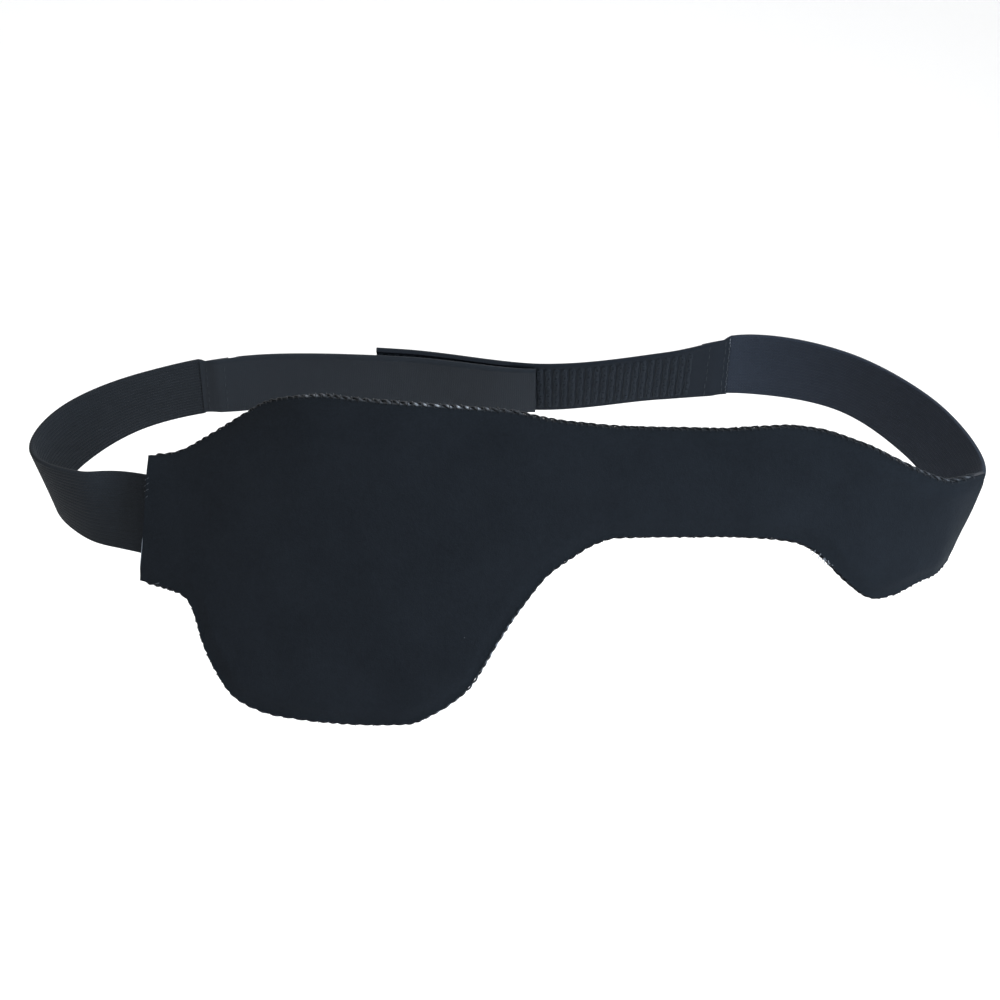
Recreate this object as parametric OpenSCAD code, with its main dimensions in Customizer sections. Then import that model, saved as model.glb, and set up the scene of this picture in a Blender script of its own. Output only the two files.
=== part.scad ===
// Single-eye sleep and cover patch on an adjustable elastic strap.
// Worn attitude: +X across the face, -Y is the front, +Z is up. The origin is on the inner side of
// the panel, where the nose bridge meets the strap line. Everything follows one closed loop: a piece
// is placed by its distance s along the loop, its height v and its depth t outward from the strap.

/* [Loop] */
// Width of the closed loop, measured between the middles of the strap
loop_w = 238; // [190:1:290]
// Depth of the closed loop, front to back in its own tilted plane
loop_d = 78; // [64:1:100]
// Tilt of the strap's plane, rising towards the back of the head
loop_tilt = 30; // [0:1:40]

/* [Panel] */
// Length of the panel along the loop, laid flat
panel_l = 211; // [175:1:255]
// Height of the eye pad above the strap line
pad_up = 40; // [33:0.5:48]
// Depth of the eye pad below the strap line
pad_down = 43; // [35:0.5:51]
// Height of the bridge
bridge_h = 27.5; // [22:0.5:34]
// Thickness of the face cloth
face_t = 0.8; // [0.5:0.1:1.2]
// Thickness of the foam core
foam_t = 2.2; // [1.5:0.1:4]
// Thickness of the lining cloth
lining_t = 0.6; // [0.4:0.1:1]
// How far the overlock thread stands past the cut edge
edge_w = 0.8; // [0.4:0.1:1.2]

/* [Strap] */
// Width of the elastic and of both tapes
strap_w = 20; // [16:0.5:24]
// Thickness of the elastic
elastic_t = 1.2; // [0.8:0.1:1.6]
// Length of elastic sewn flat on the panel at each end
sewn_l = 10; // [7:0.5:13]
// Play at each fold line between a sewn end and the free strap
fold_gap = 1; // [0.8:0.1:1.6]
// Air left between pieces that are sewn on each other's curved faces
seat_gap = 0.1; // [0.06:0.01:0.12]

/* [Closure] */
// Length of the loop tape
loop_tape_l = 91; // [75:1:110]
// Thickness of the loop tape with its pile
loop_tape_t = 1.4; // [1:0.1:2]
// Length of the hook tape
hook_tape_l = 97; // [80:1:118]
// Thickness of the hook tape's backing
hook_back_t = 1; // [0.7:0.1:1.4]
// Height of the hook rows
hook_h = 0.6; // [0.4:0.1:0.9]
// Bare rim of the backing beside the hook rows
hook_rim = 1; // [0.5:0.1:2]
// Distance between the hook rows
hook_pitch = 2.15; // [1.8:0.05:2.8]
// Length over which the two tapes lie on each other
overlap_l = 43; // [34:1:52]
// How far the hook tape's free end sits above the loop tape
skew_up = 1; // [0:0.1:3]
// Length of each lap where a tape is sewn to its elastic
lap_l = 8; // [6:0.5:10]
// Air between the hooks and the pile
closure_gap = 0.3; // [0.25:0.05:0.6]

/* [Stitching] */
// Thickness of the sewing thread
thread_t = 0.3; // [0.2:0.05:0.4]
// Length of one stitch
stitch_l = 2.2; // [1.6:0.1:2.6]
// Pitch of the stitches
stitch_pitch = 2.8; // [2.7:0.1:3.2]

/* [Hidden] */

half_w = loop_w / 2;
half_strap = strap_w / 2;

// The loop from above, in its tilted plane: [share of the half width, share of the depth, lean].
// The lean turns the strap's upper edge outward, in degrees. It starts at the panel's left end.
loop_points = [
    [-0.755, 0.22, -36], [-0.895, 0.27, -7], [-0.985, 0.40, 12], [-0.945, 0.61, 7],
    [-0.795, 0.805, -6], [-0.555, 0.915, -5], [-0.22, 0.92, -10], [0.10, 0.86, -14],
    [0.37, 0.92, -13], [0.575, 0.975, 1], [0.775, 0.885, 0], [0.92, 0.665, 10], [0.99, 0.425, 18],
    [0.99, 0.255, 15], [0.90, 0.13, -8], [0.715, 0.05, -24], [0.42, 0.01, -30],
    [0, 0, -30], [-0.42, 0.05, -32]];
spline_steps = 12;

// Catmull-Rom curve through b and c, and its direction
function curve(a, b, c, d, t) = 0.5 * (2 * b + (c - a) * t + (2 * a - 5 * b + 4 * c - d) * t * t
    + (3 * b - a - 3 * c + d) * t * t * t);
function slope(a, b, c, d, t) = 0.5 * ((c - a) + 2 * (2 * a - 5 * b + 4 * c - d) * t
    + 3 * (3 * b - a - 3 * c + d) * t * t);
function scaled(p) = [p.x * half_w, p.y * loop_d, p.z];
function at(i) = scaled(loop_points[i % len(loop_points)]);
knots = [for (i = [0 : len(loop_points)]) for (j = [0 : spline_steps - 1])
    let (n = len(loop_points), t = j / spline_steps)
    if (i < n || j == 0)
    [curve(at(i + n - 1), at(i), at(i + 1), at(i + 2), t),
     slope(at(i + n - 1), at(i), at(i + 1), at(i + 2), t)]];
function plan(p) = [p.x, p.y];
arc = [for (i = 0, a = 0; i < len(knots);
    a = a + (i + 1 < len(knots) ? norm(plan(knots[i + 1][0]) - plan(knots[i][0])) : 0), i = i + 1) a];
loop_l = arc[len(arc) - 1];

// Place and direction tables against the distance along the loop
function column(k, c) = [for (i = [0 : len(arc) - 1]) [arc[i], knots[i][k][c]]];
x_table = column(0, 0);
y_table = column(0, 1);
lean_table = column(0, 2);
dx_table = column(1, 0);
dy_table = column(1, 1);
function wrap(s) = s - floor(s / loop_l) * loop_l;

// Loop plane: X across, back_dir to the rear, up_dir along the loop's axis
back_dir = [0, cos(loop_tilt), sin(loop_tilt)];
up_dir = [0, -sin(loop_tilt), cos(loop_tilt)];
function unit(v) = v / norm(v);
function along(s) = unit(lookup(wrap(s), dx_table) * [1, 0, 0] + lookup(wrap(s), dy_table) * back_dir);
function width_dir(s) = let (lean = lookup(wrap(s), lean_table), out = cross(up_dir, along(s)))
    cos(lean) * up_dir + sin(lean) * out;
function out_dir(s) = cross(width_dir(s), along(s));
function middle(s) = lookup(wrap(s), x_table) * [1, 0, 0] + lookup(wrap(s), y_table) * back_dir;
// A point at distance s along the loop, height v on the strap and depth t outward
function on_loop(s, v, t) = middle(s) + v * width_dir(s) + t * out_dir(s);

// Layers, as depth outward from the middle of the elastic
elastic_out = elastic_t / 2;
lining_in = elastic_out + seat_gap;
lining_out = lining_in + lining_t;
foam_out = lining_out + foam_t;
face_out = foam_out + face_t;
pile_out = -elastic_out - seat_gap;
loop_tape_in = pile_out - loop_tape_t;
hook_in = pile_out + closure_gap;
back_in = hook_in + hook_h;
back_out = back_in + hook_back_t;

// Places along the loop. The panel runs from 0 back to -panel_l, the strap from 0 to strap_end.
strap_end = loop_l - panel_l;
strap_mid = 0.483 * strap_end;
loop_tape_end = strap_mid + overlap_l / 2;
hook_tape_end = strap_mid - overlap_l / 2;
loop_tape_start = loop_tape_end - loop_tape_l;
hook_tape_start = hook_tape_end + hook_tape_l;
fold_half = fold_gap * 0.7;
left_fold = fold_gap * 1.2;
right_fold = strap_end - fold_gap * 1.2;
tab_fold = hook_tape_start - lap_l - fold_gap * 1.2;
hooks_start = tab_fold - fold_gap;

// The finished outline's two edges: [share of the panel's length, height above the strap line]
end_up = half_strap + 6;
tail_up = half_strap + 8.5;
brow_up = pad_up - 5.5;
bridge_down = brow_up - 1 - bridge_h;
tail_down = -half_strap - 3.8;
upper_edge = [[0, end_up], [0.02, end_up + 0.8], [0.04, end_up + 3], [0.07, end_up + 8.6],
    [0.105, pad_up - 9], [0.135, pad_up - 4], [0.17, pad_up - 1.5], [0.22, pad_up + 0.1],
    [0.3, pad_up - 0.4], [0.38, pad_up - 0.9], [0.45, pad_up - 1.6], [0.5, pad_up - 3.8],
    [0.57, brow_up], [0.7, brow_up - 1.2], [0.78, brow_up - 0.7], [0.82, brow_up - 2.2],
    [0.87, brow_up - 6.2], [0.92, tail_up + 3.6], [0.96, tail_up - 1.1], [1, tail_up]];
lower_edge = [[0, -end_up - 1], [0.06, -end_up - 1], [0.08, -end_up - 1.9],
    [0.095, -end_up - 5.1], [0.11, 14.3 - pad_down], [0.125, 10 - pad_down], [0.145, 4 - pad_down],
    [0.165, 1.6 - pad_down], [0.19, 0.3 - pad_down], [0.23, -pad_down], [0.29, -pad_down],
    [0.34, 0.7 - pad_down], [0.375, 5 - pad_down], [0.405, 10.4 - pad_down],
    [0.425, 18.3 - pad_down], [0.45, 27.7 - pad_down], [0.47, -9.2], [0.49, -3.4],
    [0.515, bridge_down - 5.6], [0.54, bridge_down - 2.1], [0.565, bridge_down],
    [0.6, bridge_down], [0.7, bridge_down - 0.4], [0.75, bridge_down - 1.2],
    [0.785, bridge_down - 2.6], [0.81, bridge_down - 5.9], [0.835, bridge_down - 12.6],
    [0.862, tail_down + 1.2], [0.875, tail_down], [0.9, tail_down + 0.3], [0.93, tail_down + 2],
    [1, tail_down + 2]];
// Height of an edge at distance s, smoothed by averaging nearby shares
soften = 0.012;
function edge_at(table, s) = let (k = -s / panel_l)
    (lookup(k - soften, table) + 2 * lookup(k, table) + lookup(k + soften, table)) / 4;
// The cut edges of the cloth lie inside the finished outline by the thread's width
function panel_top(s) = edge_at(upper_edge, s) - edge_w;
function panel_bottom(s) = edge_at(lower_edge, s) + edge_w;

// A band along the loop from s0 on to s1, given the four corners of its section at each step
module band(s0, s1, step, corners) {
    n = max(1, ceil((s1 - s0) / step));
    rings = [for (i = [0 : n]) let (s = s0 + (s1 - s0) * i / n) corners(s)];
    points = [for (r = rings) for (p = r) p];
    // opposite sides are split along matching diagonals, so that stacked layers meet exactly
    sides = [for (i = [0 : n - 1]) for (j = [0 : 3]) let (a = 4 * i + j, b = 4 * i + (j + 1) % 4)
        each (j < 2 ? [[a, b, a + 4], [b, b + 4, a + 4]] : [[a, b, b + 4], [a, b + 4, a + 4]])];
    caps = [[0, 2, 1], [0, 3, 2], [4 * n, 4 * n + 1, 4 * n + 2], [4 * n, 4 * n + 2, 4 * n + 3]];
    polyhedron(points, concat(sides, caps), convexity = 10);
}
// The four corners of a section, from its lowest and highest v and its inner and outer t
function section(s, v0, v1, t0, t1) =
    [on_loop(s, v0, t0), on_loop(s, v1, t0), on_loop(s, v1, t1), on_loop(s, v0, t1)];

panel_step = 0.8;
strap_step = 1.2;

module panel_layer(inner, outer) {
    band(-panel_l, 0, panel_step, function (s) section(s, panel_bottom(s), panel_top(s), inner, outer));
}
module strap_layer(s0, s1, inner, outer) {
    band(s0, s1, strap_step, function (s) section(s, -half_strap, half_strap, inner, outer));
}
// One line of stitches across the strap, standing on the inner surface at depth t
module stitch_line(s, t) {
    n = floor((strap_w - stitch_l) / stitch_pitch);
    for (i = [0 : n]) {
        v = (i - n / 2) * stitch_pitch;
        band(s - thread_t, s + thread_t, 1, function (q)
            section(q, v - stitch_l / 2, v + stitch_l / 2, t - seat_gap - thread_t, t - seat_gap));
    }
}

module face_cloth() {
    color([0.13, 0.15, 0.18]) panel_layer(foam_out, face_out);
}
module foam_core() {
    color([0.25, 0.25, 0.26]) panel_layer(lining_out, foam_out);
}
module lining_cloth() {
    color([0.11, 0.12, 0.14]) panel_layer(lining_in, lining_out);
}
module top_edge_thread() {
    color([0.3, 0.31, 0.34]) band(-panel_l, 0, panel_step, function (s)
        section(s, panel_top(s) + seat_gap, panel_top(s) + edge_w, lining_in, face_out));
}
module bottom_edge_thread() {
    color([0.2, 0.21, 0.24]) band(-panel_l, 0, panel_step, function (s)
        section(s, panel_bottom(s) - edge_w, panel_bottom(s) - seat_gap, lining_in, face_out));
}
module left_elastic_sewn_end() {
    color([0.15, 0.17, 0.19]) strap_layer(-sewn_l, left_fold - fold_half, -elastic_out, elastic_out);
}
module right_elastic_sewn_end() {
    color([0.15, 0.17, 0.2])
        strap_layer(right_fold + fold_half, strap_end + sewn_l, -elastic_out, elastic_out);
}
module left_seam_thread() {
    color([0.2, 0.2, 0.22]) for (share = [0.25, 0.75])
        stitch_line(-share * sewn_l, -elastic_out);
}
module right_seam_thread() {
    color([0.2, 0.2, 0.22]) for (share = [0.25, 0.75])
        stitch_line(strap_end + share * sewn_l, -elastic_out);
}
module left_elastic() {
    color([0.15, 0.17, 0.19])
        strap_layer(left_fold + fold_gap / 3, loop_tape_start + lap_l, -elastic_out, elastic_out);
}
// The loop tape is sewn on the inner side of the elastic
module loop_tape() {
    color([0.17, 0.19, 0.21])
        strap_layer(loop_tape_start, loop_tape_end, loop_tape_in, pile_out);
}
module loop_seam_thread() {
    color([0.22, 0.22, 0.24]) for (share = [0.2, 0.8])
        stitch_line(loop_tape_start + share * lap_l, loop_tape_in);
}
// The right elastic moves outward on its way to the hook tape, to lie on its outer face
elastic_rise = back_out + seat_gap + elastic_out;
function rise(s) = let (k = (right_fold - s) / (right_fold - hook_tape_start))
    elastic_rise * (k <= 0 ? 0 : k >= 1 ? 1 : k * k * (3 - 2 * k));
module right_elastic() {
    color([0.16, 0.18, 0.22]) band(hook_tape_start - lap_l, right_fold - fold_gap / 3, strap_step,
        function (s) section(s, -half_strap, half_strap, rise(s) - elastic_out, rise(s) + elastic_out));
}
module hook_tape_sewn_end() {
    color([0.16, 0.18, 0.2])
        strap_layer(tab_fold + fold_half, hook_tape_start, back_in, back_out);
}
module hook_seam_thread() {
    color([0.24, 0.24, 0.26]) for (share = [0.2, 0.8])
        stitch_line(hook_tape_start - share * lap_l, back_in);
}
// The hook tape climbs a little over the overlap, as the closure was pressed on slightly askew
function skew(s) = let (k = (loop_tape_end - s) / overlap_l)
    skew_up * (k <= 0 ? 0 : k >= 1 ? 1 : k);
module hook_tape() {
    color([0.17, 0.19, 0.21]) band(hook_tape_end, tab_fold - fold_gap / 3, strap_step,
        function (s) section(s, skew(s) - half_strap, skew(s) + half_strap, back_in, back_out));
}
module hook_rows() {
    n = floor((hooks_start - hook_tape_end - hook_pitch) / hook_pitch);
    color([0.14, 0.15, 0.17]) for (i = [0 : n]) {
        s = hook_tape_end + hook_pitch * (i + 0.5);
        band(s, s + hook_pitch / 2, hook_pitch, function (q)
            section(q, skew(s) - half_strap + hook_rim, skew(s) + half_strap - hook_rim, hook_in,
                back_in - seat_gap));
    }
}

face_cloth();
foam_core();
lining_cloth();
top_edge_thread();
bottom_edge_thread();
left_elastic_sewn_end();
right_elastic_sewn_end();
left_seam_thread();
right_seam_thread();
left_elastic();
loop_tape();
loop_seam_thread();
right_elastic();
hook_tape_sewn_end();
hook_seam_thread();
hook_tape();
hook_rows();
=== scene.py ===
import bpy
import numpy as np
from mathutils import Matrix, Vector


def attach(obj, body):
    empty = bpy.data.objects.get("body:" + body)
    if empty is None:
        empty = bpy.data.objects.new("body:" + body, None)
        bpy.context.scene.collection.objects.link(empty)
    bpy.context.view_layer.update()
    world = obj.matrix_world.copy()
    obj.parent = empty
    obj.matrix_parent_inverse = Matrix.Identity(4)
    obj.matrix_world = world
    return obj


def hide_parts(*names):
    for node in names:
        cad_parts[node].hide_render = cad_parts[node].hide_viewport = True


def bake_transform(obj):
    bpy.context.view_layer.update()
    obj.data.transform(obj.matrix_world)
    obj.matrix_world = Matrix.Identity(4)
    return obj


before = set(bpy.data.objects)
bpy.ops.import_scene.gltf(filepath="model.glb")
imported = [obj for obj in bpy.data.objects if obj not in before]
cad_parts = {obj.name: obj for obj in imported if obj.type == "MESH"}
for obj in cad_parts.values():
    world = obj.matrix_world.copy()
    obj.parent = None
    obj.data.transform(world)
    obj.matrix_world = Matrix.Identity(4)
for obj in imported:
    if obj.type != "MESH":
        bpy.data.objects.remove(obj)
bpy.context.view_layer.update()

mm = 0.001  # every measure below is in millimetres
rng = np.random.default_rng(11)

# ---- the loop that everything lies on ----

loopShape = {
    "width": 238, "depth": 78, "tilt": 30,  # of the closed strap, seen from above its own plane
    "panelLength": 211,
    "steps": 40,  # samples between two points
    # share of the half width, share of the depth, lean of the upper edge outward in degrees
    "points": [
        (-0.755, 0.22, -36), (-0.895, 0.27, -7), (-0.985, 0.40, 12), (-0.945, 0.61, 7),
        (-0.795, 0.805, -6), (-0.555, 0.915, -5), (-0.22, 0.92, -10), (0.10, 0.86, -14),
        (0.37, 0.92, -13), (0.575, 0.975, 1), (0.775, 0.885, 0), (0.92, 0.665, 10),
        (0.99, 0.425, 18), (0.99, 0.255, 15), (0.90, 0.13, -8), (0.715, 0.05, -24),
        (0.42, 0.01, -30), (0, 0, -30), (-0.42, 0.05, -32)],
}


def loopTable():
    # Catmull-Rom: 0.5 (2b + (c-a)t + (2a-5b+4c-d)t^2 + (3b-a-3c+d)t^3), all spans at once
    p = np.array(loopShape["points"], float)
    p *= [loopShape["width"] / 2, loopShape["depth"], 1]
    a, b, c, d = (np.roll(p, k, axis=0)[:, None] for k in (1, 0, -1, -2))
    t = (np.arange(loopShape["steps"]) / loopShape["steps"])[None, :, None]
    place = 0.5 * (2 * b + (c - a) * t + (2 * a - 5 * b + 4 * c - d) * t**2 + (3 * b - a - 3 * c + d) * t**3)
    slope = 0.5 * ((c - a) + 2 * (2 * a - 5 * b + 4 * c - d) * t + 3 * (3 * b - a - 3 * c + d) * t**2)
    place, slope = place.reshape(-1, 3), slope.reshape(-1, 3)
    place, slope = np.vstack([place, place[:1]]), np.vstack([slope, slope[:1]])
    arc = np.r_[0, np.cumsum(np.hypot(*np.diff(place[:, :2], axis=0).T))]
    return arc, place, slope


arcTable, placeTable, slopeTable = loopTable()
loopLength = arcTable[-1]
strapEnd = loopLength - loopShape["panelLength"]
tilt = np.radians(loopShape["tilt"])
acrossDir = np.array([1.0, 0, 0])
backDir = np.array([0, np.cos(tilt), np.sin(tilt)])
upDir = np.array([0, -np.sin(tilt), np.cos(tilt)])


def unit(v):
    return v / np.linalg.norm(v, axis=-1, keepdims=True)


def loopFrame(s):
    # middle of the strap, direction along it, across its width and out of its face, at distance s
    s = np.mod(s, loopLength)
    column = lambda table, k: np.interp(s, arcTable, table[:, k])[..., None]
    middle = column(placeTable, 0) * acrossDir + column(placeTable, 1) * backDir
    along = unit(column(slopeTable, 0) * acrossDir + column(slopeTable, 1) * backDir)
    lean = np.radians(column(placeTable, 2))
    across = np.cos(lean) * upDir + np.sin(lean) * np.cross(upDir, along)
    return middle, along, across, np.cross(across, along)


def onLoop(s, v, t):
    # middle(s) + v across + t out, in metres
    s, v, t = np.broadcast_arrays(np.asarray(s, float), v, t)
    middle, along, across, out = loopFrame(s)
    return (middle + v[..., None] * across + t[..., None] * out) * mm


def smooth(x):
    x = np.clip(x, 0, 1)
    return x * x * (3 - 2 * x)


# ---- layers and places, as in the drawing ----

strap = {"width": 20, "elasticThick": 1.2, "sewn": 10, "lap": 8, "seat": 0.1}
panel = {"lining": 0.6, "foam": 2.2, "face": 0.8, "edge": 0.8, "padUp": 40, "padDown": 43, "bridge": 27.5}
closure = {
    "loopTape": 91, "loopTapeThick": 1.4, "hookTape": 97, "hookBack": 1.0, "hookHigh": 0.6,
    "pitch": 2.15, "overlap": 43, "middle": 0.483, "skew": 1.0, "gap": 0.3,
}

halfStrap = strap["width"] / 2
elasticOut = strap["elasticThick"] / 2
liningIn = elasticOut + strap["seat"]
liningOut = liningIn + panel["lining"]
foamOut = liningOut + panel["foam"]
faceOut = foamOut + panel["face"]
pileOut = -elasticOut - strap["seat"]
loopTapeIn = pileOut - closure["loopTapeThick"]
hookIn = pileOut + closure["gap"]
backIn = hookIn + closure["hookHigh"]
backOut = backIn + closure["hookBack"]
loopTapeEnd = closure["middle"] * strapEnd + closure["overlap"] / 2
hookTapeEnd = closure["middle"] * strapEnd - closure["overlap"] / 2
loopTapeStart = loopTapeEnd - closure["loopTape"]
hookTapeStart = hookTapeEnd + closure["hookTape"]
rightFold = strapEnd - 1.2
tabFold = hookTapeStart - strap["lap"] - 1.2
elasticRise = backOut + strap["seat"] + elasticOut


def rise(s):
    # the right elastic drifts outward from the panel to the outer face of the hook tape
    return elasticRise * smooth((rightFold - s) / (rightFold - hookTapeStart))


def skew(s):
    # the hook tape climbs over the overlap, because the closure was pressed on askew
    return closure["skew"] * np.clip((loopTapeEnd - s) / closure["overlap"], 0, 1)


# ---- mesh helpers ----

def makePiece(name, points, faces, uv=None, sharp=35):
    # one mesh object from whole arrays; uv is one pair per point
    points = np.ascontiguousarray(points.reshape(-1, 3), dtype=np.float32)
    faces = np.ascontiguousarray(faces.reshape(-1, faces.shape[-1]), dtype=np.int32)
    mesh = bpy.data.meshes.new(name)
    mesh.vertices.add(len(points))
    mesh.vertices.foreach_set("co", points.ravel())
    mesh.loops.add(faces.size)
    mesh.loops.foreach_set("vertex_index", faces.ravel())
    mesh.polygons.add(len(faces))
    mesh.polygons.foreach_set("loop_start", np.arange(0, faces.size, faces.shape[1], dtype=np.int32))
    mesh.polygons.foreach_set("use_smooth", np.ones(len(faces), bool))
    if uv is not None:
        layer = mesh.uv_layers.new(name="strip")
        layer.data.foreach_set("uv", uv.reshape(-1, 2)[faces.ravel()].astype(np.float32).ravel())
    mesh.update(calc_edges=True)
    mesh.validate()
    mesh.set_sharp_from_angle(angle=np.radians(sharp))
    piece = bpy.data.objects.new(name, mesh)
    bpy.context.scene.collection.objects.link(piece)
    return piece


def gridFaces(n, m, start=0, wrap=False, flip=False):
    # quads of an n by m grid of points; wrap joins the last column to the first
    i, j = np.meshgrid(np.arange(n - 1), np.arange(m if wrap else m - 1), indexing="ij")
    k = (j + 1) % m
    quads = np.stack([i * m + j, i * m + k, (i + 1) * m + k, (i + 1) * m + j], -1).reshape(-1, 4) + start
    return quads[:, ::-1] if flip else quads


def shell(name, outer, inner, uv, sharp=35):
    # closed solid between two grids of the same shape: both skins and a wall round the border
    n, m = outer.shape[:2]
    size = n * m
    index = np.arange(size).reshape(n, m)
    rim = np.concatenate([index[:-1, 0], index[-1, :-1], index[:0:-1, -1], index[0, :0:-1]])
    after = np.roll(rim, -1)
    wall = np.stack([rim, after, after + size, rim + size], -1)
    faces = np.vstack([gridFaces(n, m), gridFaces(n, m, size, flip=True), wall[:, ::-1]])
    return makePiece(name, np.stack([outer, inner]), faces, np.stack([uv, uv]), sharp)


def tubes(paths, ups, radius, sides=8):
    # a round profile carried along each path: centre + r (cos a side + sin a up), for all paths at once
    paths = np.asarray(paths, float)
    count, rings = paths.shape[:2]
    along = unit(np.gradient(paths, axis=1))
    side = unit(np.cross(along, ups))
    up = np.cross(side, along)
    a = np.arange(sides) * 2 * np.pi / sides
    r = np.broadcast_to(radius, (count, rings))[..., None, None]
    ringPoints = paths[:, :, None] + r * (
        np.cos(a)[:, None] * side[:, :, None] + np.sin(a)[:, None] * up[:, :, None])
    faces = gridFaces(rings, sides, wrap=True)[None] + (np.arange(count) * rings * sides)[:, None, None]
    return ringPoints.reshape(-1, 3), faces.reshape(-1, 4)


def taper(rings, share=0.15):
    # radius factor that closes both ends of a tube to a near point
    x = np.linspace(0, 1, rings)
    return np.sqrt(np.clip(np.minimum(x, 1 - x) / share, 0.004, 1))


def addPaleAndPaintedGlint(piece, values):
    # how pale each point of a thread is, from 0 to 1: painted highlight on the overlock rope and the tack
    # stitches, real paleness of the fray and the cut edge line
    attribute = piece.data.attributes.new("paleAndPaintedGlint", "FLOAT", "POINT")
    attribute.data.foreach_set("value", np.clip(values, 0, 1).astype(np.float32))


def finishPiece(piece, material, body, nodes=()):
    piece.data.materials.append(material)
    if isinstance(body, str):
        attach(piece, body)
    else:
        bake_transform(piece)
    if nodes:
        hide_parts(*nodes)
    return piece


# ---- shader groups ----

def newGroup(name, inputs, outputs):
    group = bpy.data.node_groups.new(name, "ShaderNodeTree")
    for label, kind, value in inputs:
        socket = group.interface.new_socket(label, in_out="INPUT", socket_type=kind)
        if value is not None:
            socket.default_value = value
    for label, kind in outputs:
        group.interface.new_socket(label, in_out="OUTPUT", socket_type=kind)
    return group, group.nodes.new("NodeGroupInput"), group.nodes.new("NodeGroupOutput")


def wire(tree, source, target):
    if isinstance(source, (int, float)):
        target.default_value = source
    else:
        tree.links.new(source, target)


def math(tree, operation, *values):
    node = tree.nodes.new("ShaderNodeMath")
    node.operation = operation
    for k, value in enumerate(values):
        wire(tree, value, node.inputs[k])
    return node.outputs[0]


def noise(tree, vector, scale, detail=3, roughness=0.55):
    node = tree.nodes.new("ShaderNodeTexNoise")
    tree.links.new(vector, node.inputs["Vector"])
    wire(tree, scale, node.inputs["Scale"])
    node.inputs["Detail"].default_value = detail
    node.inputs["Roughness"].default_value = roughness
    return node.outputs[0]


def brushedGroup():
    # height = fine nap + small pills; tone = broad mottling with lighter fibre ends
    group, given, result = newGroup(
        "brushedNap", [("Vector", "NodeSocketVector", None), ("Fineness", "NodeSocketFloat", 1.0)],
        [("Height", "NodeSocketFloat"), ("Tone", "NodeSocketFloat")])
    place = given.outputs["Vector"]
    fine = noise(group, place, math(group, "MULTIPLY", given.outputs["Fineness"], 2600), 2, 0.7)
    nap = noise(group, place, math(group, "MULTIPLY", given.outputs["Fineness"], 700), 4, 0.6)
    broad = noise(group, place, 45, 3, 0.5)
    height = math(group, "ADD", math(group, "MULTIPLY", fine, 0.5), math(group, "MULTIPLY", nap, 0.8))
    fibre = math(group, "MULTIPLY", math(group, "SUBTRACT", fine, 0.5), 0.9)
    tone = math(group, "ADD", math(group, "MULTIPLY", broad, 0.6), math(group, "MULTIPLY", nap, 0.4))
    group.links.new(height, result.inputs["Height"])
    group.links.new(math(group, "ADD", tone, fibre), result.inputs["Tone"])
    return group


def weaveGroup():
    # warp and weft as two sines of the strip's own coordinates; height is the higher of the two
    group, given, result = newGroup(
        "tapeWeave", [("Vector", "NodeSocketVector", None), ("Warp", "NodeSocketFloat", 1.0),
                      ("Weft", "NodeSocketFloat", 1.0)],
        [("Height", "NodeSocketFloat"), ("Tone", "NodeSocketFloat")])
    split = group.nodes.new("ShaderNodeSeparateXYZ")
    group.links.new(given.outputs["Vector"], split.inputs[0])
    turn = 6.28318
    lengthwise = math(group, "DIVIDE", math(group, "MULTIPLY", split.outputs[0], turn), given.outputs["Weft"])
    crosswise = math(group, "DIVIDE", math(group, "MULTIPLY", split.outputs[1], turn), given.outputs["Warp"])
    warp = math(group, "SINE", crosswise)
    weft = math(group, "SINE", math(group, "ADD", lengthwise, math(group, "MULTIPLY", warp, 1.5)))
    height = math(group, "ADD", math(group, "MULTIPLY", math(group, "ABSOLUTE", warp), 0.7),
                  math(group, "MULTIPLY", weft, 0.3))
    group.links.new(height, result.inputs["Height"])
    # tone follows the height: painted shade in the low places between threads, lighter on the raised threads
    group.links.new(math(group, "ADD", math(group, "MULTIPLY", height, 0.5), 0.3), result.inputs["Tone"])
    return group


def lintGroup():
    # mask of rare pale flecks: the tips of a sharp-edged cell pattern
    group, given, result = newGroup(
        "lintFlecks", [("Vector", "NodeSocketVector", None), ("Amount", "NodeSocketFloat", 0.5)],
        [("Mask", "NodeSocketFloat")])
    cells = group.nodes.new("ShaderNodeTexVoronoi")
    cells.inputs["Scale"].default_value = 120
    group.links.new(given.outputs["Vector"], cells.inputs["Vector"])
    split = group.nodes.new("ShaderNodeSeparateColor")
    group.links.new(cells.outputs["Color"], split.inputs[0])
    rare = math(group, "GREATER_THAN", split.outputs[0],
                math(group, "SUBTRACT", 1.0, math(group, "MULTIPLY", given.outputs["Amount"], 0.1)))
    spot = math(group, "LESS_THAN", cells.outputs["Distance"],
                math(group, "MULTIPLY", split.outputs[1], 0.05))
    group.links.new(math(group, "MULTIPLY", rare, spot), result.inputs["Mask"])
    return group


brushedNap, tapeWeave, lintFlecks = brushedGroup(), weaveGroup(), lintGroup()
print("shader groups made")

# ---- materials ----

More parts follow.
